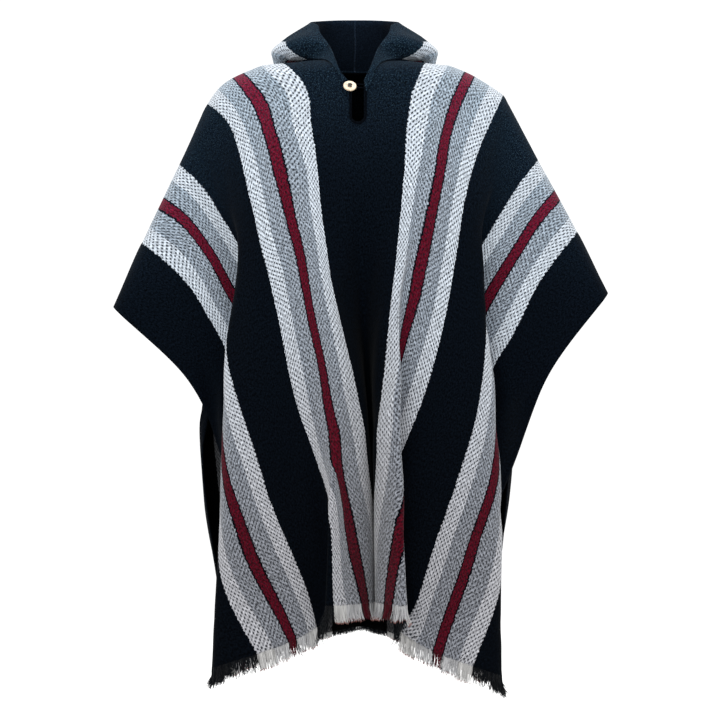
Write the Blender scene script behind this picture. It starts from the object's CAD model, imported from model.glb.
import math

import bpy
import numpy as np
from mathutils import Matrix, Vector
from mathutils.bvhtree import BVHTree
from bpy.props import FloatProperty, FloatVectorProperty, IntProperty, PointerProperty
from bpy.types import Operator, Panel, PropertyGroup


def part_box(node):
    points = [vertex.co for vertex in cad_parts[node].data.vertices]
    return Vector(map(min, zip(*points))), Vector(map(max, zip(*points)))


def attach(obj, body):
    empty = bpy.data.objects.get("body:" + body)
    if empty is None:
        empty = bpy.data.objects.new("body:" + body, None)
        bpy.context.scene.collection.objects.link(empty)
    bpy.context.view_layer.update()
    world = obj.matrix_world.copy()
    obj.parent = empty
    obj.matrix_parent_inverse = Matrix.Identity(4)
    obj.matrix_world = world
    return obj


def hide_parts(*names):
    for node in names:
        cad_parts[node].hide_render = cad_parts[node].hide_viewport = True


bl_info = {
    "name": "Hooded Poncho",
    "version": (1, 0, 0),
    "blender": (4, 5, 0),
    "location": "View3D > Sidebar > Poncho",
    "description": "Dresses a worn wool poncho with woven cloth, fringe, hood and button",
    "category": "Object",
}

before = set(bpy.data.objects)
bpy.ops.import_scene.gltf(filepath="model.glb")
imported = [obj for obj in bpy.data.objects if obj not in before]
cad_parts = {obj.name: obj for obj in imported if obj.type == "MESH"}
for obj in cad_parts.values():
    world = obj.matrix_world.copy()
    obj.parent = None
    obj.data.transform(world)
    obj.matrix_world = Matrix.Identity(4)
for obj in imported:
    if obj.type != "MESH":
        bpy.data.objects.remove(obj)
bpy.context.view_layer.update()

SEAM = 0.0003            # parting between sewn pieces
CAD_WALL = 0.0025        # wall of the solids that the cloth stands for
UNIT = 0.00162           # one step of the outline readings, in metres
VIEW_DISTANCE = 3.5      # the readings are as seen from this far in front
READ_ACROSS = 360        # reading on the line of sight, across and down
CENTRE_X = 0.00486       # x and z of that line
CENTRE_Z = -0.48276
# Shallow wrinkles: spacing, height, length, in metres.
RUFFLE_WAVES = [(0.090, 0.0011, 0.42), (0.046, 0.0006, 0.25), (0.150, 0.0012, 0.60)]
CREST = 0.035            # share of the length that rolls over the shoulder

NECK_X = -0.004
NECK_HALF = 0.086
NECK_BACK = 0.070
NECK_FRONT = 0.100
NECK_POINT = 0.012
SLIT_X = 0.0016
SLIT_HALF = 0.0095
SLIT_FOOT = -0.110
SLIT_TOP = -0.046        # top of its edging
SLIT_STEPS = 12          # steps down each straight side
# Sides of the V that joins the slit to the neck hole, x and z.
COLLAR_LEFT = [(-0.048, -0.004), (-0.0124, -0.0454), (-0.0079, -0.0506)]
COLLAR_RIGHT = [(0.0111, -0.0490), (0.0303, -0.004)]
BUTTON_RADIUS = 0.0102
BUTTON_WALL = 0.003
BUTTON_TILT = 39         # degrees, face turned up
BUTTON_GAP = 0.0031      # from the middle of the cloth to the disc, past the edging
BUTTON_RIM = 0.0050      # width of the raised rim
BUTTON_DISH = 0.0011     # depth of the dish inside it
BUTTON_HOLE = 0.0016
HOLE_RING = 0.0028       # from the middle of the button to the middle of a hole
THREAD_TURN = 0.0029     # radius of a turn of thread
THREAD_RADIUS = 0.00085  # half thickness of the thread
THREAD_ROW = 0.0021      # from the middle of the button to the middle of a row of turns
THREAD_APART = 0.00095   # from one turn to the next
THREAD_SINK = 0.0014     # how deep they lie in it
SHANK_RADIUS = 0.0013
LOOP_RADIUS = 0.0008
LOOP_BOW = 0.0030        # half width of the cord loop behind the button
LOOP_ROOT = 0.0135       # x where the loop is sewn on, past the slit

# Shoulder fold, from the left selvedge to the right one: reading across, reading down,
# cloth position from the centre line in mm.
SHOULDER = [
    (114, 307, -550), (143, 243, -436), (184, 157, -296), (200, 122, -230), (207, 107, -200), (226, 84, -152),
    (264, 67, -92), (311, 63, -46), (357, 62, 0), (402, 63, 46), (446, 67, 92), (470, 76, 132),
    (502, 96, 200), (507, 104, 216), (531, 149, 292), (576, 232, 436), (607, 293, 550),
]

# Creases of the front, in the order of SHOULDER. Columns: reading down at the hem; readings across at
# 1/5 ... 5/5 of the length; depth in mm at the shoulder roll and at those five stations, front is minus;
# cloth position in mm at the stations, where a short row goes on with its last value.
FRONT = {
    "left selvedge": (672, (188, 220, 231, 217, 212), (-35, -30, 20, 55, 30, -10),
        (-550,)),
    "left cuff": (672, (214, 222, 236, 222, 216), (-45, -45, -30, 30, 0, -30),
        (-436, -500, -520, -525, -535)),
    "left hollow": (668, (244, 238, 240, 232, 225), (-50, -50, -35, -20, -30, -40),
        (-312, -380, -462, -500, -520)),
    "left arm": (668, (236, 227, 222, 219, 214), (-55, -78, -100, -110, -110, -100),
        (-262, -308, -372, -424, -495)),
    "left side": (640, (252, 256, 267, 275, 295), (-60, -112, -128, -138, -135, -128),
        (-205, -245, -275, -325, -372)),
    "left tuck": (620, (275, 289, 299, 328, 326), (-70, -125, -138, -142, -146, -132),
        (-152, -168, -194, -212, -254)),
    "left ridge": (606, (307, 322, 338, 333, 329), (-85, -130, -150, -165, -180, -186),
        (-92, -92, -112, -190, -205)),
    "left lip": (603, (325, 333, 360, 371.2, 372), (-95, -131, -146, -134, -118, -118),
        (-60, -70, -72, -85, -118)),
    "centre valley": (600, (360, 362, 368, 373, 374.4), (-100, -130, -102, -72, -60, -56),
        (0,)),
    "right lip": (603, (396, 391, 376.5, 375, 376.8), (-95, -131, -143, -137, -130, -128),
        (60, 66, 72, 85, 112)),
    "right ridge": (606, (419, 399, 397, 399, 404), (-85, -130, -150, -170, -182, -190),
        (92, 82, 112, 135, 180)),
    "right tuck": (626, (434, 403, 395, 395, 395), (-70, -126, -137, -140, -136, -125),
        (130, 105, 150, 220, 285)),
    "right side": (650, (465, 435, 418, 410, 430), (-60, -112, -128, -140, -140, -132),
        (200, 176, 208, 268, 350)),
    "right arm": (676, (482, 487, 497, 499, 500), (-55, -78, -100, -110, -110, -100),
        (245, 306, 364, 424, 495)),
    "right hollow": (676, (474, 476, 478, 485, 492), (-50, -50, -35, -20, -30, -40),
        (308, 368, 450, 490, 520)),
    "right cuff": (680, (517, 503, 484, 490, 497), (-45, -45, -30, 30, 0, -30),
        (436, 500, 520, 525, 535)),
    "right selvedge": (682, (551, 520, 492, 496, 502), (-35, -30, 20, 55, 30, -10),
        (550,)),
}

# Folds of the back, with the same columns, but x in mm instead of the readings across.
BACK = {
    "left selvedge": (672, (-255, -256, -246, -226, -222), (35, 60, 74, 84, 80, 76), (-550,)),
    "left cuff": (668, (-236, -252, -250, -229, -226), (45, 64, 96, 120, 126, 128), (-436, -462, -470)),
    "left hollow": (662, (-220, -220, -212, -202, -196), (50, 76, 92, 96, 99, 100), (-306, -362, -392)),
    "left arm": (656, (-205, -196, -184, -176, -170), (55, 104, 132, 146, 152, 156), (-240, -298, -315)),
    "left side": (646, (-170, -156, -140, -128, -122), (60, 124, 118, 104, 96, 92), (-200, -230, -236)),
    "left tuck": (640, (-126, -114, -104, -98, -94), (70, 131, 144, 154, 160, 164), (-152, -155, -156)),
    "left ridge": (632, (-74, -60, -52, -46, -44), (85, 132, 122, 110, 104, 100), (-92, -82, -76)),
    "left slope": (629, (-37, -29, -24, -20, -19), (91, 132, 131, 129, 129, 129), (-46, -41, -38)),
    "centre valley": (626, (0, 2, 4, 5, 6), (95, 131, 139, 148, 154, 158), (0,)),
    "right slope": (629, (36, 32, 30, 29, 29), (91, 132, 132, 131, 131, 132), (46, 41, 38)),
    "right ridge": (632, (72, 62, 56, 54, 52), (85, 132, 124, 114, 108, 106), (92, 82, 76)),
    "right tuck": (642, (124, 112, 100, 94, 92), (70, 130, 142, 150, 157, 158), (132, 146, 150, 152)),
    "right side": (650, (168, 158, 146, 138, 134), (60, 122, 114, 98, 90, 88), (200, 226, 236, 238)),
    "right arm": (660, (202, 194, 184, 180, 176), (55, 102, 130, 142, 148, 150), (232, 290, 312, 314)),
    "right hollow": (668, (218, 218, 210, 202, 197), (50, 76, 90, 94, 96, 98), (300, 358, 390, 392)),
    "right cuff": (674, (238, 252, 248, 230, 226), (45, 64, 94, 118, 126, 130), (436, 460, 470)),
    "right selvedge": (678, (268, 256, 243, 228, 226), (35, 60, 72, 82, 78, 72), (550,)),
}
STATIONS = np.linspace(0.0, 1.0, 6)
FOLD_TIP = 0.0035        # half width of a standing fold at its tip
FRONT_STANDING = (6, 8, 10)      # numbers of the creases that stand up as narrow folds
BACK_STANDING = (1, 15)
NECK_CUT = (-0.065, 0.05)        # heights between which the neck hole is cut
SLIT_CUT = (-0.2, -0.06)         # depths between which the slit is cut

# Hood, one half, from its front edge to the centre seam. Columns: x and y of the seam on the shoulders;
# how far the lip lies out from it; then x, y, z down into the pouch and up again to the rim: wall, foot,
# flank and rim, or the rim alone. All in mm.
HOOD = {
    "neck foot": ((18, -109), 0, (15, -112, -44)),
    "neck point": ((31, -101), 0, (23, -107, -27)),
    "front": ((43, -76), 0, (30, -89, -8)),
    "front side": ((64, -34), 0, (40, -51, 19)),
    "neck side": ((78, -17), 8, (86, -25, 13), (83, -31, 22), (69, -36, 29), (48, -31, 32)),
    "shoulder": ((87, -3), 16, (101, -15, 16), (100, -18, 26), (82, -20, 38), (55, -14, 44)),
    "roll": ((86, 16), 22, (124, 13, 10), (130, 14, 20), (102, 14, 40), (60, 22, 63)),
    "corner": ((76, 39), 22, (122, 60, 2), (134, 68, 12), (116, 70, 42), (72, 60, 73)),
    "back corner": ((53, 58), 22, (92, 116, -38), (108, 144, -84), (100, 150, 6), (52, 97, 81)),
    "back": ((27, 69), 22, (50, 127, -68), (62, 164, -166), (60, 180, -40), (26, 114, 85)),
    "centre back": ((0, 73), 22, (0, 131, -76), (0, 170, -212), (0, 194, -60), (0, 119, 86)),
}
LIP_LIFT = 0.008         # height of that lip over the shoulders
HOOD_NAVY = 0.060        # navy band along the edge of the hood

# Corrections of the cloth position on the front, in mm: line on the cloth in mm from the centre, then
# the values at the shares of the length in SHIFT_SHARES.
SHIFT_SHARES = np.array([0.0, 0.06, 0.12, 0.18, 0.25, 0.35, 0.45, 0.55, 0.65, 0.75, 0.85, 1.0])
SHIFT = {
    -550: (0, 0, 0, 0, 0, 0, 0, 0, 0, 0, 0, 0),
    -436: (0, -10, -13, -4, 0, 0, 0, 0, -2, -8, -11, -2),
    -372: (0, -15, -13, -2, 0, 0, 0, 0, -2, -6, 2, 6),
    -308: (2, -7, -3, -2, 0, 0, 2, 2, 0, 4, 0, -12),
    -240: (-2, -17, -10, -2, 3, 0, 0, 0, -3, 0, 0, -8),
    -200: (-4, -24, -16, -3, 4, 0, -1, -2, -5, -2, 0, -3),
    -172: (-5, -25, -18, -4, 3, -4, -5, -6, 5, 30, 30, 8),
    -136: (-6, -15, -11, -1, 1, -8, -10, -11, 5, 26, 18, 6),
    -98: (-2, -19, -13, -11, -2, -10, -8, -1, 13, 17, 6, 0),
    -72: (2, -17, -8, -2, 6, 3, 5, 8, 11, 12, 4, 0),
    0: (0, 0, 0, 0, 0, 0, 0, 0, 0, 0, 0, 0),
    72: (2, 10, 8, 2, -1, 0, -4, -9, -13, -13, -5, 0),
    98: (4, 14, 13, 11, 13, 15, 6, -12, -16, -16, -10, -5),
    136: (6, 13, 11, 0, -2, 5, 10, 5, -10, -12, -12, -14),
    172: (3, 9, 9, 3, -1, 4, 6, 4, 0, -5, -10, -15),
    200: (0, 5, 8, 4, 0, 3, 3, 2, 5, 0, -4, -6),
    240: (-2, 2, 2, -3, 0, 0, 4, 4, 8, 0, -4, 0),
    308: (-4, -1, -6, -8, 0, 0, 6, 7, 8, 2, -3, 7),
    372: (1, 6, 3, 1, 0, 0, 3, 5, 5, 10, 5, 8),
    436: (0, 5, 6, -2, -8, -4, -2, 0, 0, 0, -3, 3),
    550: (0, 0, 0, 0, 0, 0, 0, 0, 0, 0, 0, 0),
}

# Stripes across one half of the cloth, in metres from the centre line. Each group starts with a
# light band at its inner edge: end of the band and its dye.
GROUP_STARTS = (0.072, 0.308)
GROUP_WIDTH = 0.128
GROUP_PARTING = 0.254    # between the two groups
BANDS = [
    (0.026, "light"), (0.054, "grey"), (0.056, "navy"), (0.072, "red"), (0.074, "navy"), (0.102, "grey"),
    (0.128, "light"),
]
BAND_MARGIN = 0.010      # navy at both ends of the colour ramp
# For each dye: how dark the gaps of the weave are, how much its flecks vary, how pale its nap is.
WEAVE = {
    "navy": (0.0, 0.75, 0.0), "light": (0.98, 0.42, 1.0),
    "grey": (0.92, 0.80, 0.8), "red": (0.40, 0.85, 0.1),
}
OPEN_WEAVE = 0.8         # gaps darker than this mark the light and grey bands
OPENEST_WEAVE = 0.95     # and darker than this the light ones alone
GAP_ACROSS = 0.0072      # spacing of the gaps in the open weave
GAP_DOWN = 0.0088
GAP_WIDE = 0.00125       # half sizes of a gap
GAP_LONG = 0.0023
GAP_LEAN = 0.25          # sideways run of a gap for its length
TOOTH = 0.0066           # spacing of the teeth along a stripe's edge
HOLE_ACROSS = 0.0064     # row of holes over the hem: spacing, half sizes, height
HOLE_WIDE, HOLE_LONG, HOLE_UP = 0.0013, 0.0024, 0.0070
HIGH_CLOTH = (0.62, 0.98)        # lengths up from the hem over which the navy turns bluer
LOW_CLOTH = (0.10, 0.72)         # and over which all colours turn lighter from the hem up


# Geometry
def smooth(at, knots, values):
    """Values on a smooth curve through the knots, for one place or for many at once."""
    at, values = np.asarray(at, float), np.asarray(values, float)
    slope = np.gradient(values, knots, axis=0)
    i = np.clip(np.searchsorted(knots, at) - 1, 0, len(knots) - 2)
    shape = at.shape + (1,) * (values.ndim - 1)
    h = np.reshape(knots[i + 1] - knots[i], shape)
    s = np.reshape(at - knots[i], shape) / h
    return (values[i] * (2 * s**3 - 3 * s**2 + 1) + values[i + 1] * (3 * s**2 - 2 * s**3)
            + h * slope[i] * (s**3 - 2 * s**2 + s) + h * slope[i + 1] * (s**3 - s**2))


def read_x(across, y):
    """x of a reading across, at a depth."""
    return (across - READ_ACROSS) * UNIT * (VIEW_DISTANCE + y) / VIEW_DISTANCE + CENTRE_X


def read_z(down, y):
    """z of a reading down, at a depth."""
    return CENTRE_Z + (READ_ACROSS - down) * UNIT * (VIEW_DISTANCE + y) / VIEW_DISTANCE


def unit(vectors):
    """The vectors of a list or grid, each divided by its length."""
    return vectors / np.maximum(np.linalg.norm(vectors, axis=-1), 1e-9)[..., None]


def lengths_along(path):
    """Length from the start of a path to each of its points."""
    return np.concatenate([[0], np.cumsum(np.linalg.norm(np.diff(path, axis=0), axis=1))])


def ring_faces(rings, sides, first=0, flip=False):
    """Faces of a tube made of rings of points, closed at both ends."""
    faces = []
    for start in range(first, first + (rings - 1) * sides, sides):
        for k in range(sides):
            a, b = start + k, start + (k + 1) % sides
            faces.append((a, a + sides, b + sides, b) if flip else (a, b, b + sides, a + sides))
    last = first + (rings - 1) * sides
    ends = tuple(range(first, first + sides))[::-1], tuple(range(last, last + sides))
    return faces + [end[::-1] if flip else end for end in ends]


def crease_lines(table, place_x):
    """For each crease, x, y, z and cloth position at the six stations."""
    lines = []
    for top, (hem_down, places, depth, cloth) in zip(SHOULDER, table.values()):
        top_across, top_down, top_cloth = top
        depth = [d / 1000 for d in depth]
        downs = top_down + (hem_down - top_down) * STATIONS
        xs = [read_x(top_across, 0)] + [place_x(p, d) for p, d in zip(places, depth[1:])]
        zs = [read_z(down, d) for down, d in zip(downs, [0] + depth[1:])]
        cloth = (top_cloth,) + cloth + cloth[-1:] * (len(places) - len(cloth))
        lines.append(np.array([xs, depth, zs, [c / 1000 for c in cloth]]).T)
    return lines


def crease_point(line, t):
    """One place of a crease, rolled over the shoulder."""
    p = smooth(t, STATIONS, line)
    if t < CREST:
        p[1] *= math.sqrt(max(0.0, 1 - (1 - t / CREST) ** 2))
    return p


def section(lines, t, count, standing):
    """Points of the cloth across one line of equal length, evenly spread, each with its cloth position."""
    points = []
    for i, line in enumerate(lines):
        p = crease_point(line, t)
        if i in standing:
            tip = np.array([1, 0, 0, 1]) * FOLD_TIP * min(1.0, 0.15 + 3 * t)
            points += [p - tip, p + tip]
        else:
            points.append(p)
    points = np.array(points)
    chords = np.linalg.norm(np.diff(points[:, :3], axis=0), axis=1)
    knots = np.concatenate([[0], np.cumsum(np.sqrt(chords))])
    share = np.concatenate([[0], np.cumsum(np.sqrt(chords) + 0.08)])
    at = np.interp(np.linspace(0, share[-1], count), share, knots)
    return smooth(at, knots, points)


def row_shares(rows):
    """Shares of the length for the rows of a panel, close together on the roll."""
    roll = [CREST * (1 - math.cos(math.radians(a))) for a in np.linspace(0, 90, 12)]
    return roll + [CREST + (1 - CREST) * k / rows for k in range(1, rows + 1)]


def drape(table, place_x, columns, rows, standing):
    """Grid in rows from the shoulder fold down: x, y, z, cloth position, length up from the hem."""
    lines = crease_lines(table, place_x)
    grid = np.array([section(lines, t, columns, standing) for t in row_shares(rows)])
    steps = np.linalg.norm(np.diff(grid[:, :, :3], axis=0), axis=2)
    up = np.concatenate([np.cumsum(steps[::-1], axis=0)[::-1], np.zeros((1, columns))])
    return np.concatenate([grid, up[:, :, None]], axis=2)


def ruffle(grid, outward, seed):
    """Lifts the cloth in shallow uneven wrinkles that die out at the shoulder and the hem."""
    chance = np.random.default_rng(seed)
    down, across = np.gradient(grid[:, :, :3], axis=0), np.gradient(grid[:, :, :3], axis=1)
    normals = unit(np.cross(down, across) * outward)
    u, v = grid[:, :, 3], grid[:, :, 4]
    lift = np.zeros(u.shape)
    for wave in RUFFLE_WAVES:
        turn, lean, phase = chance.uniform(0.8, 1.2), chance.uniform(-0.35, 0.35), chance.uniform(0, 6.28)
        lift += wave[1] * np.sin(2 * math.pi * (u + lean * v) / (wave[0] * turn) + phase
                                 + 1.3 * np.sin(2 * math.pi * v / wave[2] + phase))
    share = v / v[0]
    lift *= np.clip((1 - share) / 0.12, 0, 1) * np.clip(share / 0.15, 0, 1)
    grid[:, :, :3] += normals * lift[:, :, None]


def front_grid(columns, rows):
    """The front, with its stripes moved to where they lie on the worn cloth."""
    grid = drape(FRONT, read_x, columns, rows, FRONT_STANDING)
    lines = np.array(list(SHIFT)) / 1000
    table = np.array(list(SHIFT.values())).T / 1000
    for row, t in zip(grid, row_shares(rows)):
        row[:, 3] += np.interp(row[:, 3], lines, smooth(t, SHIFT_SHARES, table))
    return grid


def grid_faces(grid, flip):
    """Quads of a grid, turned over if asked."""
    rows, columns = grid.shape[:2]
    faces = []
    for r in range(rows - 1):
        for c in range(columns - 1):
            a = r * columns + c
            face = (a, a + columns, a + columns + 1, a + 1)
            faces.append(face[::-1] if flip else face)
    return faces


def tree_of(grid, flip):
    """Tree of a grid, for finding places on it."""
    return BVHTree.FromPolygons([Vector(p) for p in grid[:, :, :3].reshape(-1, 3)], grid_faces(grid, flip))


def link_mesh(name, points, faces):
    """A new object of the scene from points and faces."""
    mesh = bpy.data.meshes.new(name)
    mesh.from_pydata([tuple(p) for p in points], [], faces)
    obj = bpy.data.objects.new(name, mesh)
    bpy.context.scene.collection.objects.link(obj)
    return obj


def add_mesh(name, points, faces, uvs, *materials):
    """The same, smooth, with materials and with the cloth's own coordinates in the UV map Cloth."""
    obj = link_mesh(name, points, faces)
    mesh = obj.data
    layer = mesh.uv_layers.new(name="Cloth")
    index = np.zeros(len(mesh.loops), int)
    mesh.loops.foreach_get("vertex_index", index)
    layer.data.foreach_set("uv", np.asarray(uvs, float)[index].ravel())
    for material in materials:
        mesh.materials.append(material)
    mesh.polygons.foreach_set("use_smooth", [True] * len(mesh.polygons))
    mesh.update()
    return obj


def settle(obj):
    """Applies the modifiers of an object."""
    graph = bpy.context.evaluated_depsgraph_get()
    mesh = bpy.data.meshes.new_from_object(obj.evaluated_get(graph))
    obj.modifiers.clear()
    obj.data = mesh
    mesh.name = obj.name


def thicken(obj, wall, even=True):
    """Gives a sheet its wall, with the last material on its inner side."""
    shell = obj.modifiers.new("Wall", "SOLIDIFY")
    shell.thickness = wall
    shell.offset = 0
    shell.use_even_offset = even
    shell.material_offset = len(obj.data.materials) - 1
    shell.use_quality_normals = True


def tube(path, radius, sides, pitch=None):
    """Points, faces and UVs of a round cord along a path, gathered by its stitches at a pitch."""
    path = np.asarray(path, float)
    along = unit(np.gradient(path, axis=0))
    marks = lengths_along(path)
    across = unit(np.cross(along, np.eye(3)[int(np.argmin(np.abs(along).max(axis=0)))]))
    rise = np.cross(across, along)
    points, uvs = [], []
    for i, (place, side, up) in enumerate(zip(path, across, rise)):
        size = radius * (1 - 0.22 * abs(math.cos(math.pi * marks[i] / pitch)) if pitch else 1)
        for k in range(sides):
            a = 2 * math.pi * k / sides
            points.append(place + size * (math.cos(a) * side + math.sin(a) * up))
            uvs.append((radius * a, marks[i] + 1))
    return points, ring_faces(len(path), sides), uvs


def add_prism(name, outline, axis, low, high):
    """Closed prism over an outline, along Z or Y, for cutting with."""
    def place(a, b, level):
        return (a, b, level) if axis == "Z" else (a, level, b)
    points = [place(a, b, low) for a, b in outline] + [place(a, b, high) for a, b in outline]
    n = len(outline)
    faces = [tuple(range(n))[::-1], tuple(range(n, 2 * n))]
    faces += [(i, (i + 1) % n, n + (i + 1) % n, n + i) for i in range(n)]
    if axis == "Y":
        faces = [face[::-1] for face in faces]
    return link_mesh(name, points, faces)


def cut(obj, cutters):
    """Cuts the prisms out of a piece and removes them."""
    for cutter in cutters:
        boolean = obj.modifiers.new("Cut", "BOOLEAN")
        boolean.operation = "DIFFERENCE"
        boolean.solver = "EXACT"
        boolean.object = cutter
    settle(obj)
    for cutter in cutters:
        bpy.data.objects.remove(cutter)


def neck_outline():
    """Outline of the neck hole in plan: a V in front and half an oval behind."""
    half = [(NECK_HALF, 0.0), (0.071, -0.020), (0.055, -0.041), (0.034, -0.069), (NECK_POINT, -NECK_FRONT)]
    front = [(NECK_X - x, y) for x, y in half] + [(NECK_X + x, y) for x, y in half[::-1]]
    back = [(NECK_X + NECK_HALF * math.cos(math.radians(a)), NECK_BACK * math.sin(math.radians(a)))
            for a in range(6, 180, 6)]
    return front + back


def slit_path(offset):
    """Down the left side, round the foot and up the right side, offset out from the edge."""
    half = SLIT_HALF + offset
    foot = SLIT_FOOT + SLIT_HALF
    heights = [foot + (SLIT_TOP - foot) * k / SLIT_STEPS for k in range(1, SLIT_STEPS + 1)]
    bend = [(SLIT_X - half * math.cos(a), foot - half * math.sin(a)) for a in np.linspace(0, math.pi, 21)]
    return [(SLIT_X - half, z) for z in heights[::-1]] + bend + [(SLIT_X + half, z) for z in heights]


def on_shoulders(x, y, lift, trees):
    """Point over the cloth at a place in plan, lifted off the middle of its wall."""
    hits = [tree.ray_cast(Vector((x, y, 0.1)), Vector((0, 0, -1)))[:2] for tree in trees]
    point, normal = max((h for h in hits if h[0] is not None), key=lambda h: h[0].z)
    return point + normal * lift


def hood_table(side, trees):
    """For each row of HOOD, its points from the neck seam to the rim."""
    clear = CAD_WALL + SEAM * 1.6
    table = []
    for (neck_x, neck_y), reach, *turns in HOOD.values():
        x, y = NECK_X + side * neck_x / 1000, neck_y / 1000
        later = [Vector((NECK_X + side * a / 1000, b / 1000, c / 1000)) for a, b, c in turns]
        if not reach:
            seam = on_shoulders(x, y, clear, trees)
            later = [seam.lerp(later[0], share) for share in (0.2, 0.4, 0.6, 0.8, 1.0)]
        else:
            out = Vector((x - NECK_X, y)).normalized() * reach / 1000
            later.insert(0, on_shoulders(x + out.x, y + out.y, clear + LIP_LIFT, trees))
        table.append([[x, y, 0]] + [list(p) for p in later])
    table.append([[2 * NECK_X - p[0], p[1], p[2]] for p in table[-2]])
    return np.array(table)


def hood_half(side, trees, columns, rows):
    """Grid of one half, rows from the neck seam to the rim, with the distance from the rim and along it."""
    table = hood_table(side, trees)
    clear = CAD_WALL + SEAM * 1.6
    knots = np.arange(len(table), dtype=float)
    strips = []
    last = len(HOOD) - 1
    for station in list(np.linspace(0, last - 0.1, columns - 1)) + [float(last)]:
        profile = smooth(station, knots, table)
        crest = 0.0020 if abs(profile[0, 1]) < 0.03 else 0
        profile[0] = on_shoulders(profile[0, 0], profile[0, 1], clear + crest, trees)
        lengths = np.linalg.norm(np.diff(profile, axis=0), axis=1)
        along = np.concatenate([[0], np.cumsum(np.sqrt(lengths))])
        strips.append(smooth(np.linspace(0, along[-1], rows), along, profile))
    grid = np.array(strips).transpose(1, 0, 2)
    grid[:, -1, 0] = NECK_X + side * 0.5 * SEAM
    steps = np.linalg.norm(np.diff(grid[::-1], axis=0), axis=2)
    from_rim = np.concatenate([np.zeros((1, columns)), np.cumsum(steps, axis=0)])[::-1]
    along_rim = np.broadcast_to(lengths_along(grid[-1]) + 1, from_rim.shape)
    return grid, np.stack([from_rim + GROUP_STARTS[0] - HOOD_NAVY, along_rim], axis=2)


# Materials
class Number:
    """A socket of a material that takes part in Python expressions."""

    def __init__(self, graph, socket):
        self.graph = graph
        self.socket = socket

    def _with(self, operation, other, swap=False):
        first, second = (other, self) if swap else (self, other)
        return self.graph.maths(operation, first, second)

    def __add__(self, other):
        return self._with("ADD", other)

    def __radd__(self, other):
        return self._with("ADD", other, True)

    def __sub__(self, other):
        return self._with("SUBTRACT", other)

    def __rsub__(self, other):
        return self._with("SUBTRACT", other, True)

    def __mul__(self, other):
        return self._with("MULTIPLY", other)

    def __rmul__(self, other):
        return self._with("MULTIPLY", other, True)

    def __truediv__(self, other):
        return self._with("DIVIDE", other)

    def __gt__(self, other):
        return self._with("GREATER_THAN", other)


class Graph:
    """Node tree of one material."""

    def __init__(self, name):
        self.material = bpy.data.materials.new(name)
        self.material.use_nodes = True
        self.tree = self.material.node_tree
        self.shader = self.tree.nodes["Principled BSDF"]

    def node(self, kind, settings=None, inputs=None):
        made = self.tree.nodes.new(kind)
        for key, value in (settings or {}).items():
            setattr(made, key, value)
        for key, value in (inputs or {}).items():
            self.feed(made.inputs[key], value)
        return made

    def feed(self, socket, value):
        if isinstance(value, Number):
            self.tree.links.new(value.socket, socket)
        elif isinstance(value, bpy.types.NodeSocket):
            self.tree.links.new(value, socket)
        else:
            socket.default_value = value

    def maths(self, operation, *values):
        made = self.node("ShaderNodeMath", {"operation": operation}, dict(enumerate(values)))
        return Number(self, made.outputs[0])

    def step(self, value, low, high):
        """0 below low and 1 above high, smooth between."""
        made = self.node("ShaderNodeMapRange", {"interpolation_type": "SMOOTHSTEP"},
                         {"Value": value, "From Min": low, "From Max": high})
        return Number(self, made.outputs[0])

    def vector(self, x, y, z=0.0):
        return self.node("ShaderNodeCombineXYZ", None, {0: x, 1: y, 2: z}).outputs[0]

    def noise(self, vector, scale=1.0, detail=2.0, rough=0.5):
        made = self.node("ShaderNodeTexNoise", None,
                         {"Vector": vector, "Scale": scale, "Detail": detail, "Roughness": rough})
        return Number(self, made.outputs[0])

    def mix(self, share, first, second, blend="MIX"):
        made = self.node("ShaderNodeMix", {"data_type": "RGBA", "blend_type": blend},
                         {0: share, 6: first, 7: second})
        return made.outputs[2]

    def times(self, first, second):
        return self.mix(1.0, first, second, "MULTIPLY")

    def place(self):
        return self.node("ShaderNodeTexCoord").outputs["Object"]

    def uv(self, layer):
        """The two parts of a UV map, in metres along the cloth."""
        made = self.node("ShaderNodeUVMap", {"uv_map": layer})
        parts = self.node("ShaderNodeSeparateXYZ", None, {0: made.outputs[0]})
        return Number(self, parts.outputs[0]), Number(self, parts.outputs[1])

    def bump(self, height, strength, distance):
        made = self.node("ShaderNodeBump", None,
                         {"Strength": strength, "Distance": distance, "Height": height})
        self.normal = made.outputs[0]
        self.feed(self.shader.inputs["Normal"], self.normal)

    def finish(self, **values):
        for key, value in values.items():
            self.feed(self.shader.inputs[key.replace("_", " ")], value)
        return self.material


def band_ramp(graph, across):
    """Colour at a distance from the centre line, with the gaps, flecks and nap of the weave there."""
    dyes = bpy.context.scene.poncho_dyes
    far = across > GROUP_PARTING
    place = across - GROUP_STARTS[0] - far * (GROUP_STARTS[1] - GROUP_STARTS[0])
    span = GROUP_WIDTH + 2 * BAND_MARGIN
    starts = [-BAND_MARGIN, 0.0] + [end for end, _ in BANDS]
    names = ["navy"] + [dye for _, dye in BANDS] + ["navy"]
    outputs = []
    for colours in ([tuple(getattr(dyes, name)) for name in names], [WEAVE[name] for name in names]):
        ramp = graph.node("ShaderNodeValToRGB", None, {"Fac": (place + BAND_MARGIN) / span})
        stops = ramp.color_ramp
        stops.interpolation = "CONSTANT"
        while len(stops.elements) < len(names):
            stops.elements.new(0.5)
        for stop, start, colour in zip(stops.elements, starts, colours):
            stop.position = (start + BAND_MARGIN) / span
            stop.color = colour + (1,)
        outputs.append(ramp.outputs[0])
    parts = graph.node("ShaderNodeSeparateColor", None, {0: outputs[1]})
    return outputs[0], [Number(graph, part) for part in parts.outputs]


def grey_colour(graph, value):
    """A number as a colour."""
    return graph.node("ShaderNodeCombineColor", None, {0: value, 1: value, 2: value}).outputs[0]


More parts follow.
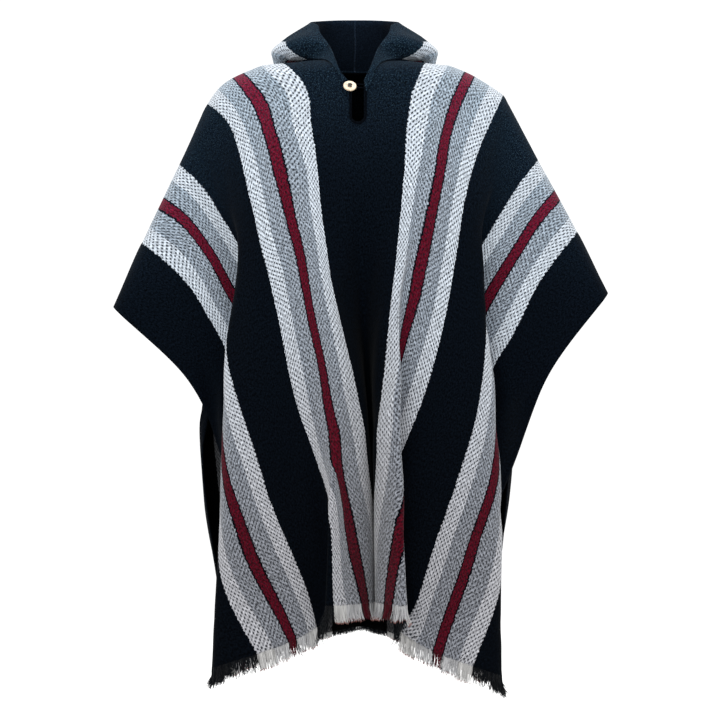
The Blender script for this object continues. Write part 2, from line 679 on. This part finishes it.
GAP_COLOUR = (0.010, 0.014, 0.022, 1)
INSIDE_SHADE = 0.12      # brightness of the cloth's inner side, for its dye
HOOD_INSIDE_SHADE = 4.0  # the same for the plain navy in the hood, on its seam and on the button's loop
HOOD_SEAM_SHADE = 9.0
LOOP_SHADE = 0.7


def wool(name, shade=1.0):
    """Brushed wool with stripes by cloth position, an open leaning weave and flecks of mixed yarn."""
    g = Graph(name)
    u, v = g.uv("Cloth")

    def cloud(across, down, seed, detail=1.0, rough=0.5):
        return g.noise(g.vector(u * across, v * down, seed), detail=detail, rough=rough)

    drift = cloud(110, 80, 0.0, 2.0) - 0.5
    waver = cloud(9, 9, 3.0) - 0.5
    jog = cloud(160, 110, 13.0) - 0.5
    teeth = g.maths("SINE", v * (2 * math.pi / TOOTH) + jog * 6.0)
    across = g.maths("ABSOLUTE", u + drift * 0.0022 + jog * 0.0030 + teeth * 0.0005)
    colour, (gaps, flecks, nap) = band_ramp(g, across)

    turn = g.step(cloud(20, 6, 11.0), 0.44, 0.56)
    lean = (0.5 - turn) * (2 * GAP_LEAN * GAP_DOWN / GAP_ACROSS) + jog * 0.5
    column = (u + jog * 0.0018 + waver * 0.006) / GAP_ACROSS
    row = (v + drift * 0.0026 + waver * 0.010) / GAP_DOWN

    def gap_at(shift):
        y = g.maths("FRACT", row + shift) - 0.5
        x = g.maths("FRACT", column + shift + y * lean) - 0.5
        x = x * (GAP_ACROSS / GAP_WIDE)
        y = y * (GAP_DOWN / GAP_LONG)
        return x * x + y * y

    distance = g.maths("MINIMUM", gap_at(0.0), gap_at(0.5))
    gap = (1 - g.step(distance, 0.40, 1.15)) * (g.step(cloud(150, 100, 7.0), 0.28, 0.52) * 0.45 + 0.55)
    net = g.step(distance, 1.0, 3.0) * g.step(cloud(190, 130, 9.0), 0.35, 0.65)
    strands = [g.noise(g.vector((u + v * lean_to) * 620, v * 210, seed), detail=1.0)
               for lean_to, seed in ((GAP_LEAN, 1.0), (-GAP_LEAN, 4.0))]
    strand = g.step(g.maths("MAXIMUM", *strands), 0.40, 0.72)
    fibre = cloud(1500, 900, 2.0, 2.0, 0.6)
    mixed = g.step(cloud(370, 260, 5.0, 2.0, 0.6), 0.36, 0.64)

    tone = 1 + flecks * (mixed * 1.25 + strand * 0.85 - 1.12) + (fibre - 0.5) * 0.5 + net * nap * 0.42
    body = g.times(colour, grey_colour(g, g.maths("MAXIMUM", tone, 0.12)))
    dark = gap * gaps
    hole_x = (g.maths("FRACT", u / HOLE_ACROSS + jog) - 0.5) * (HOLE_ACROSS / HOLE_WIDE)
    hole_y = (v - HOLE_UP) / HOLE_LONG
    hole = (1 - g.step(hole_x * hole_x + hole_y * hole_y, 0.3, 1.1)) * (gaps > OPENEST_WEAVE)
    body = g.mix(g.maths("MAXIMUM", dark, hole), body, GAP_COLOUR)
    high = g.step(v, *HIGH_CLOTH)
    hair = g.step(cloud(640, 520, 8.0, 2.0, 0.65), 0.52, 0.72)
    body = g.mix(hair * (1 - nap) * (high * 0.15 + 0.008), body, (0.12, 0.19, 0.25, 1))
    body = g.mix(high * (1 - nap), body, g.times(body, (2.1, 2.6, 2.7, 1)))
    low = 1 - g.step(v, *LOW_CLOTH)
    body = g.mix(low, body, g.times(body, (0.66, 0.595, 0.57, 1)))
    if shade < 1:
        body = g.times(body, (shade, shade, shade, 1))
    rough = fibre * 0.15 + 0.84
    g.bump((1 - dark) * 0.9 + strand * nap * 0.5 + fibre * 0.35 + mixed * 0.25, 0.7, 0.0013)
    pale = g.node("ShaderNodeBsdfPrincipled", None, {
        "Base Color": body, "Roughness": rough, "Sheen Weight": 0.35 * shade, "Sheen Roughness": 0.5,
        "Specular IOR Level": 0.10, "Normal": g.normal})
    both = g.node("ShaderNodeMixShader", None, {0: nap, 1: g.shader.outputs[0], 2: pale.outputs[0]})
    g.feed(g.tree.nodes["Material Output"].inputs["Surface"], both.outputs[0])
    return g.finish(Base_Color=body, Roughness=rough, Sheen_Weight=0.012 * shade, Sheen_Roughness=0.4,
                    Specular_IOR_Level=0.012)


def plain_wool(name, shade):
    """Navy wool with a short nap, for what isn't striped."""
    g = Graph(name)
    navy = bpy.context.scene.poncho_dyes.navy
    place = g.place()
    nap = g.step(g.noise(place, scale=520, detail=3.0, rough=0.65), 0.35, 0.70)
    rows = g.noise(place, scale=140, detail=1.0)
    dark, bright = [tuple(c * shade * k for c in navy) + (1,) for k in (0.6, 1.7)]
    g.bump(nap * 0.6 + rows * 0.4, 0.6, 0.0010)
    return g.finish(Base_Color=g.mix(nap, dark, bright), Roughness=rows * 0.1 + 0.85,
                    Sheen_Weight=0.02 * shade, Sheen_Roughness=0.4, Specular_IOR_Level=0.02)


def loose_yarn(name):
    """Loose warp ends in the colours of the stripes, with a rusty line at the tips of the pale ones."""
    g = Graph(name)
    u, t = g.uv("Cloth")
    colour, (gaps, _, _) = band_ramp(g, g.maths("ABSOLUTE", u))
    each = g.step(g.noise(g.vector(u * 2300, t * 0.6), detail=1.0), 0.30, 0.70)
    clump = g.noise(g.vector(u * 330, t * 0.8, 6.0), detail=1.0)
    tone = each * 0.50 + clump * 0.7 + 0.50
    shade = g.times(colour, grey_colour(g, tone))
    pale = gaps > OPEN_WEAVE
    lift = g.mix(gaps > OPENEST_WEAVE, (1.75, 1.5, 1.3, 1), (1.05, 0.93, 0.82, 1))
    shade = g.times(shade, g.mix(pale, (0.72, 0.66, 0.60, 1), lift))
    shade = g.mix(g.step(t, 0.915, 0.95) * pale * 0.85, shade, (0.16, 0.035, 0.022, 1))
    g.bump(each, 0.3, 0.0004)
    return g.finish(Base_Color=shade, Roughness=each * 0.1 + 0.85, Sheen_Weight=0.04, Sheen_Roughness=0.5,
                    Specular_IOR_Level=0.05)


def horn(name):
    """Pale polished button with darker streaks."""
    g = Graph(name)
    place = g.place()
    cloud = g.noise(place, scale=160, detail=4.0)
    grain = g.noise(place, scale=900, detail=2.0)
    colour = g.mix(g.step(cloud, 0.35, 0.7), (0.66, 0.53, 0.38, 1), (0.34, 0.23, 0.14, 1))
    colour = g.mix(grain * 0.25, colour, (0.80, 0.70, 0.56, 1))
    g.bump(grain, 0.15, 0.0002)
    return g.finish(Base_Color=colour, Roughness=cloud * 0.2 + 0.3, Coat_Weight=0.2)


def thread_dye(name):
    """Dark sewing thread, twisted."""
    g = Graph(name)
    place = g.place()
    twist = g.noise(place, scale=2400, detail=1.0)
    g.bump(twist, 0.4, 0.0002)
    return g.finish(Base_Color=g.mix(twist, (0.015, 0.014, 0.014, 1), (0.07, 0.06, 0.05, 1)),
                    Roughness=twist * 0.2 + 0.7)


# Name, place, size in metres, power in watts.
STUDIO_LIGHTS = [
    ("key", (-1.5, -3.0, 2.2), (2.0, 2.0), 70),
    ("fill", (2.2, -2.8, 1.4), (2.0, 2.0), 34),
    ("top", (0.0, 0.2, 2.6), (2.4, 2.4), 50),
    ("rear", (0.4, 3.4, 1.4), (2.6, 2.2), 40),
]


def studio_paint(name):
    """Pale, hardly clouded floor."""
    g = Graph(name)
    place = g.place()
    cloud = g.noise(place, scale=0.7, detail=2.0)
    return g.finish(Base_Color=g.mix(cloud, (0.93, 0.93, 0.93, 1), (0.95, 0.95, 0.95, 1)), Roughness=0.9)


# Settings
class PonchoSettings(PropertyGroup):
    """Sizes of the cloth, the hood and the fringe"""
    wall: FloatProperty(name="Cloth wall", description="Thickness of the cloth", default=0.0022,
                        unit="LENGTH")
    columns: IntProperty(name="Columns", description="Steps across a panel", default=210)
    rows: IntProperty(name="Rows", description="Steps down a panel", default=130)
    hood_columns: IntProperty(name="Hood columns", description="Steps round half of the hood", default=70)
    hood_rows: IntProperty(name="Hood rows", description="Steps from the neck seam to the rim", default=64)
    seam: FloatProperty(name="Seam", description="Radius of the rolled seam of the hood", default=0.0021,
                        unit="LENGTH")
    fringe: FloatProperty(name="Fringe", description="Length of the loose yarns", default=0.030,
                          unit="LENGTH")
    yarn: FloatProperty(name="Yarn", description="Thickness of a loose yarn", default=0.0013, unit="LENGTH")
    yarn_count: IntProperty(name="Yarns", description="Loose yarns on each hem", default=2100)


class DyeSettings(PropertyGroup):
    """Colours of the wool"""
    navy: FloatVectorProperty(name="Navy", description="Ground of the cloth", subtype="COLOR",
                              default=(0.0014, 0.0027, 0.0050))
    light: FloatVectorProperty(name="Light", description="Pale outer bands", subtype="COLOR",
                               default=(0.38, 0.425, 0.475))
    grey: FloatVectorProperty(name="Grey", description="Blue-grey bands", subtype="COLOR",
                              default=(0.190, 0.222, 0.262))
    red: FloatVectorProperty(name="Red", description="Deep red line", subtype="COLOR",
                             default=(0.068, 0.0024, 0.0095))


class StageSettings(PropertyGroup):
    """Camera and floor"""
    distance: FloatProperty(name="Camera distance", description="Distance from the shoulder line",
                            default=VIEW_DISTANCE, unit="LENGTH")
    floor: FloatProperty(name="Floor", description="Height of the floor, at the wearer's feet", default=-1.45,
                         unit="LENGTH")
    floor_size: FloatProperty(name="Floor size", description="Width of the floor", default=60.0,
                              unit="LENGTH")


# Pieces
GRIDS = {}


def grids():
    """The two panels' grids and their trees for laying pieces on them, made once."""
    if not GRIDS:
        s = bpy.context.scene.poncho
        GRIDS["front"] = front_grid(s.columns, s.rows)
        GRIDS["back"] = drape(BACK, lambda x, y: x / 1000, s.columns, s.rows, BACK_STANDING)
        ruffle(GRIDS["front"], 1, 3)
        ruffle(GRIDS["back"], -1, 4)
        GRIDS["front"][0, :, 1] -= SEAM / 2
        GRIDS["back"][0, :, 1] += SEAM / 2
        GRIDS["trees"] = [tree_of(GRIDS["front"], False), tree_of(GRIDS["back"], True)]
    return GRIDS


def place_piece(obj, slot, *nodes):
    """Puts a piece on the garment's one body, with its material slot and the nodes that it stands for."""
    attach(obj, "root")
    if nodes:
        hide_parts(*nodes)


def add_panel(side, flip, slit=None):
    """One side of the cloth, with its share of the neck hole and with the slit, if it has one."""
    grid = grids()[side]
    obj = add_mesh(f"{side}_cloth", grid[:, :, :3].reshape(-1, 3), grid_faces(grid, flip),
                   grid[:, :, 3:5].reshape(-1, 2), wool(f"{side} wool"),
                   wool(f"{side} lining side", INSIDE_SHADE))
    thicken(obj, bpy.context.scene.poncho.wall)
    cutters = [add_prism("neck_cutter", neck_outline(), "Z", *NECK_CUT)]
    if slit:
        cutters.append(add_prism("slit_cutter", slit, "Y", *SLIT_CUT))
    cut(obj, cutters)
    place_piece(obj, f"{side}_cloth", f"{side}_panel")


class PONCHO_OT_front(Operator):
    """Front of the cloth, with the neck hole and the slit"""
    bl_idname = "poncho.front"
    bl_label = "Front cloth"

    def execute(self, context):
        add_panel("front", False, COLLAR_LEFT + slit_path(0)[SLIT_STEPS:-SLIT_STEPS] + COLLAR_RIGHT)
        return {"FINISHED"}


class PONCHO_OT_back(Operator):
    """Back of the cloth, with the neck hole"""
    bl_idname = "poncho.back"
    bl_label = "Back cloth"

    def execute(self, context):
        add_panel("back", True)
        return {"FINISHED"}


class PONCHO_OT_hood(Operator):
    """Both halves of the hood"""
    bl_idname = "poncho.hood"
    bl_label = "Hood"

    def execute(self, context):
        s = context.scene.poncho
        materials = wool("hood wool"), plain_wool("hood lining side", HOOD_INSIDE_SHADE)
        seam_wool = plain_wool("hood seam wool", HOOD_SEAM_SHADE)
        for name, side in (("left", -1), ("right", 1)):
            grid, uvs = hood_half(side, grids()["trees"], s.hood_columns, s.hood_rows)
            obj = add_mesh(f"hood_{name}_cloth", grid.reshape(-1, 3), grid_faces(grid, side > 0),
                           uvs.reshape(-1, 2), *materials)
            thicken(obj, s.wall, even=False)
            settle(obj)
            place_piece(obj, "hood_cloth", f"hood_{name}")
        at = np.linspace(0, s.hood_rows - 1, 240)
        centre = np.array([np.interp(at, np.arange(s.hood_rows), grid[:, -1, k]) for k in (1, 2)])
        wander = NECK_X + 0.0009 * np.sin(at * 0.45) + 0.0003 * np.sin(at * 1.3 + 1)
        obj = add_mesh("hood_seam", *tube(np.array([wander, *centre]).T, s.seam, 10, 0.0075), seam_wool)
        place_piece(obj, "hood_cloth")
        return {"FINISHED"}


def cloth_under(x, z):
    """Place and normal of the front cloth behind a place seen from the front."""
    return grids()["trees"][0].ray_cast(Vector((x, -1, z)), Vector((0, 1, 0)))[:2]


EDGING_WIDTH, EDGING_WALL, EDGING_GAP = 0.004, 0.0012, 0.0002
# Rounded profile of the edging: shares of its width and of its wall.
EDGING = [(0.0, 0.0), (0.0, 0.6), (0.12, 0.9), (0.35, 1.0), (0.65, 1.0), (0.88, 0.9), (1.0, 0.6), (1.0, 0.0)]


class PONCHO_OT_edging(Operator):
    """Narrow ribbed edging round the slit"""
    bl_idname = "poncho.edging"
    bl_label = "Slit edging"

    def execute(self, context):
        lift = CAD_WALL / 2 + EDGING_GAP
        rings = []
        outer_path = slit_path(SEAM + EDGING_WIDTH)
        for inner, outer in zip(slit_path(SEAM), outer_path):
            (a, n), (b, _) = [cloth_under(x, z) for x, z in (inner, outer)]
            rings.append([a.lerp(b, share) + n * (lift + rise * EDGING_WALL) for share, rise in EDGING])
        points = [p for ring in rings for p in ring]
        uvs = [(share * 0.01, mark) for mark in lengths_along(outer_path) for share, _ in EDGING]
        faces = ring_faces(len(rings), len(EDGING), flip=True)
        obj = add_mesh("slit_edging", points, faces, uvs, wool("edging wool"))
        place_piece(obj, "binding", "slit_binding")
        return {"FINISHED"}


def deselect():
    bpy.ops.object.select_all(action="DESELECT")


def select_faces(obj, test):
    """In edit mode, selects the faces whose centre and normal pass the test."""
    bpy.ops.object.mode_set(mode="OBJECT")
    for polygon in obj.data.polygons:
        polygon.select = test(polygon.center, polygon.normal)
    bpy.ops.object.mode_set(mode="EDIT")
    bpy.ops.mesh.select_mode(type="FACE")


def apply_modifiers(obj):
    """Applies an object's modifiers one after another and leaves it active."""
    deselect()
    obj.select_set(True)
    bpy.context.view_layer.objects.active = obj
    for modifier in list(obj.modifiers):
        bpy.ops.object.modifier_apply(modifier=modifier.name)


def add_disc(place):
    """The dished disc with its four holes."""
    deselect()
    bpy.ops.mesh.primitive_cylinder_add(vertices=64, radius=BUTTON_RADIUS, depth=BUTTON_WALL)
    disc = bpy.context.object
    disc.name = disc.data.name = "button_disc"
    select_faces(disc, lambda centre, normal: normal.z > 0.9)
    bpy.ops.mesh.inset(thickness=BUTTON_RIM)
    bpy.ops.mesh.inset(thickness=0.0005)
    bpy.ops.transform.translate(value=(0, 0, -BUTTON_DISH))
    bpy.ops.mesh.inset(thickness=0.0010)
    bpy.ops.object.mode_set(mode="OBJECT")
    bevel = disc.modifiers.new("Round edges", "BEVEL")
    bevel.width = 0.0008
    bevel.segments = 4
    bevel.limit_method = "ANGLE"
    holes = []
    for k in range(4):
        a = math.pi / 4 + k * math.pi / 2
        deselect()
        bpy.ops.mesh.primitive_cylinder_add(vertices=20, radius=BUTTON_HOLE, depth=0.01,
                                            location=(HOLE_RING * math.cos(a), HOLE_RING * math.sin(a), 0))
        holes.append(bpy.context.object)
        boolean = disc.modifiers.new("Hole", "BOOLEAN")
        boolean.solver = "EXACT"
        boolean.object = bpy.context.object
    apply_modifiers(disc)
    for hole in holes:
        bpy.data.objects.remove(hole)
    bpy.ops.object.shade_smooth_by_angle(angle=math.radians(35))
    disc.data.materials.append(horn("button horn"))
    disc.data.transform(place)
    place_piece(disc, "button", "button")


def add_thread(place):
    """Three turns of thread through each pair of holes."""
    threads = []
    for row in (-1, 1):
        for turn in (-1, 0, 1):
            deselect()
            bpy.ops.mesh.primitive_torus_add(
                major_segments=24, minor_segments=8, major_radius=THREAD_TURN, minor_radius=THREAD_RADIUS,
                rotation=(math.pi / 2, 0, 0),
                location=(0, row * THREAD_ROW + turn * THREAD_APART, -THREAD_SINK))
            bpy.ops.object.transform_apply(location=True, rotation=True, scale=True)
            threads.append(bpy.context.object)
    deselect()
    for thread in threads:
        thread.select_set(True)
    bpy.context.view_layer.objects.active = threads[0]
    bpy.ops.object.join()
    thread = bpy.context.object
    thread.name = thread.data.name = "button_thread"
    bpy.ops.object.shade_smooth()
    thread.data.materials.append(thread_dye("button thread"))
    thread.data.transform(place)
    place_piece(thread, "button")


def add_shank_and_loop(centre):
    """A shank of thread from the cloth to the disc, and the cord loop that is hooked round it."""
    cloth, _ = cloth_under(centre.x, centre.z)
    steps = np.linspace(0, 1, 8)[:, None]
    shank = np.array(centre) * (1 - steps) + np.array(cloth) * steps
    obj = add_mesh("button_shank", *tube(shank, SHANK_RADIUS, 10), thread_dye("shank thread"))
    place_piece(obj, "button")
    behind = (centre.y + cloth.y) / 2
    bow = [(centre.x + LOOP_BOW * math.cos(a), behind, centre.z + LOOP_BOW * math.sin(a))
           for a in np.linspace(math.pi / 2, 1.5 * math.pi, 15)]
    upper, lower = [(LOOP_ROOT, cloth.y - 0.0012, centre.z + k * LOOP_BOW * 0.8) for k in (1, -1)]
    path = [upper] + bow + [lower]
    path = smooth(np.linspace(0, 1, 60), np.linspace(0, 1, len(path)), path)
    obj = add_mesh("button_loop", *tube(path, LOOP_RADIUS, 8), plain_wool("loop cord", LOOP_SHADE))
    place_piece(obj, "button")


class PONCHO_OT_button(Operator):
    """Dished button with four holes, the thread and shank that hold it, and its loop"""
    bl_idname = "poncho.button"
    bl_label = "Button"

    def execute(self, context):
        low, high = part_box("button")
        tilt = math.radians(BUTTON_TILT)
        normal = Vector((0.10, -math.cos(tilt), math.sin(tilt))).normalized()
        turn = Vector((0, 0, 1)).rotation_difference(normal).to_matrix().to_4x4()
        place = Matrix.Translation((low + high) / 2) @ turn
        rim = [place @ Vector((BUTTON_RADIUS * math.cos(a), BUTTON_RADIUS * math.sin(a), -BUTTON_WALL / 2))
               for a in np.linspace(0, 2 * math.pi, 25)]
        sunk = max(p.y - cloth_under(p.x, p.z)[0].y for p in rim)
        place = Matrix.Translation((0, -BUTTON_GAP - sunk, 0)) @ place
        add_disc(place)
        add_thread(place)
        add_shank_and_loop(place.to_translation())
        return {"FINISHED"}


# Which way is out, seed, and shares of the fringe's length near the middle and near the sides.
FRINGES = [("front", 1, 5, (1.0, 1.0)), ("back", -1, 9, (0.35, 0.7))]
FRINGE_TURN = (0.18, 0.34)       # cloth positions between which the share changes


class PONCHO_OT_fringe(Operator):
    """Loose warp ends along both hems"""
    bl_idname = "poncho.fringe"
    bl_label = "Fringe"

    def execute(self, context):
        s = context.scene.poncho
        material = loose_yarn("fringe yarn")
        for name, outward, seed, shares in FRINGES:
            grid = grids()[name]
            hem, cloth = grid[-1, :, :3], grid[-1, :, 3]
            arc = lengths_along(hem)
            falls = unit(hem - grid[-4, :, :3])
            normals = unit(np.cross(falls, np.gradient(hem, arc, axis=0)) * outward)
            chance = np.random.default_rng(seed)
            points, faces, uvs = [], [], []
            for k in range(s.yarn_count):
                at = arc[-1] * (k + chance.uniform(0.2, 0.8)) / s.yarn_count
                root, fall, normal = [np.array([np.interp(at, arc, a[:, i]) for i in range(3)])
                                      for a in (hem, falls, normals)]
                u = float(np.interp(at, arc, cloth))
                share = np.interp(abs(u), FRINGE_TURN, shares)
                add_yarn(points, faces, uvs, root, fall, normal, u, k, s.fringe * share, s.yarn, chance)
            obj = add_mesh(f"{name}_fringe_yarns", points, faces, uvs, material)
            place_piece(obj, "fringe", f"{name}_fringe")
        return {"FINISHED"}


def dye_at(u):
    """Name of the stripe's dye at a cloth position."""
    across = abs(u)
    start = GROUP_STARTS[1] if across > GROUP_PARTING else GROUP_STARTS[0]
    for end, dye in BANDS:
        if 0 <= across - start < end:
            return dye
    return "navy"


SPLAY = 0.20             # how far the yarns swing out from the cloth for their length
YARN_STEPS = 6
# For each dye: shortest and longest yarn as shares of the fringe, and how far it strays.
RAGGED = {
    "light": (0.88, 1.0, 0.05), "grey": (0.74, 0.94, 0.08),
    "red": (0.66, 0.84, 0.07), "navy": (0.50, 1.0, 0.17),
}


def add_yarn(points, faces, uvs, root, fall, normal, u, index, fringe, yarn, chance):
    """One yarn, a tapered three-sided tube that bends from the cloth's fall to straight down."""
    short, long, stray = RAGGED[dye_at(u)]
    length = fringe * chance.uniform(short, long)
    side = np.cross(fall, normal)
    bend = side * chance.normal(0, stray) + normal * (SPLAY + chance.normal(0, stray * 0.6))
    curl = side * chance.normal(0, stray * 0.5)
    depth = normal * ((index % 3 - 1) * 0.0007 + chance.normal(0, 0.0003))
    radius = yarn * 0.5 * chance.uniform(0.8, 1.15)
    down = fall * 0.6 + np.array([0, 0, -0.4])
    down /= np.linalg.norm(down)
    faces += ring_faces(YARN_STEPS, 3, len(points))
    for j in range(YARN_STEPS):
        t = j / (YARN_STEPS - 1)
        middle = (root + depth - fall * 0.001 + down * length * t + bend * length * t * t
                  + curl * length * math.sin(math.pi * t) * 0.4)
        size = radius * (1.0 - 0.25 * t if t < 1 else 0.5)
        for k in range(3):
            a = 2 * math.pi * (k + index * 0.37) / 3
            points.append(middle + size * (math.cos(a) * side + math.sin(a) * normal))
            uvs.append((u, t))


class PONCHO_OT_stage(Operator):
    """Pale floor, soft studio light and the camera"""
    bl_idname = "poncho.stage"
    bl_label = "Stage"

    def execute(self, context):
        scene = context.scene
        s = scene.poncho_stage
        deselect()
        bpy.ops.mesh.primitive_plane_add(size=s.floor_size, location=(0, 0, s.floor))
        floor = context.object
        floor.name = "floor"
        floor.data.materials.append(studio_paint("floor paint"))

        for name, place, size, power in STUDIO_LIGHTS:
            light = bpy.data.lights.new(name, "AREA")
            light.shape = "RECTANGLE"
            light.size, light.size_y = size
            light.energy = power
            lamp = bpy.data.objects.new(name, light)
            lamp.location = place
            lamp.rotation_euler = (Vector((0, 0, -0.5)) - Vector(place)).to_track_quat("-Z", "Y").to_euler()
            scene.collection.objects.link(lamp)

        world = bpy.data.worlds.new("studio")
        world.use_nodes = True
        backdrop = world.node_tree.nodes["Background"]
        backdrop.inputs["Color"].default_value = (1.0, 1.0, 1.0, 1)
        backdrop.inputs["Strength"].default_value = 1.12
        scene.world = world

        camera = bpy.data.cameras.new("camera")
        camera.sensor_width = 36
        camera.lens = 36 * s.distance / (2 * READ_ACROSS * UNIT)
        view = bpy.data.objects.new("camera", camera)
        view.location = (CENTRE_X, -s.distance, CENTRE_Z)
        view.rotation_euler = (math.pi / 2, 0, 0)
        scene.collection.objects.link(view)
        scene.camera = view
        scene.view_settings.view_transform = "Standard"
        return {"FINISHED"}


class PONCHO_PT_panel(Panel):
    """Lists the pieces of the poncho"""
    bl_idname = "PONCHO_PT_panel"
    bl_label = "Hooded Poncho"
    bl_space_type = "VIEW_3D"
    bl_region_type = "UI"
    bl_category = "Poncho"

    def draw(self, context):
        for operator in OPERATORS:
            self.layout.operator(operator.bl_idname)
        for group in (context.scene.poncho, context.scene.poncho_dyes, context.scene.poncho_stage):
            for key in group.__annotations__:
                self.layout.prop(group, key)


OPERATORS = (PONCHO_OT_front, PONCHO_OT_back, PONCHO_OT_hood, PONCHO_OT_edging, PONCHO_OT_button,
             PONCHO_OT_fringe, PONCHO_OT_stage)
CLASSES = (PonchoSettings, DyeSettings, StageSettings) + OPERATORS + (PONCHO_PT_panel,)


def register():
    for cls in CLASSES:
        bpy.utils.register_class(cls)
    bpy.types.Scene.poncho = PointerProperty(type=PonchoSettings)
    bpy.types.Scene.poncho_dyes = PointerProperty(type=DyeSettings)
    bpy.types.Scene.poncho_stage = PointerProperty(type=StageSettings)


def unregister():
    del bpy.types.Scene.poncho, bpy.types.Scene.poncho_dyes, bpy.types.Scene.poncho_stage
    for cls in reversed(CLASSES):
        bpy.utils.unregister_class(cls)


def main():
    register()
    bpy.ops.poncho.front()
    bpy.ops.poncho.back()
    bpy.ops.poncho.hood()
    bpy.ops.poncho.edging()
    bpy.ops.poncho.button()
    bpy.ops.poncho.fringe()
    bpy.ops.poncho.stage()


if __name__ == "__main__":
    main()
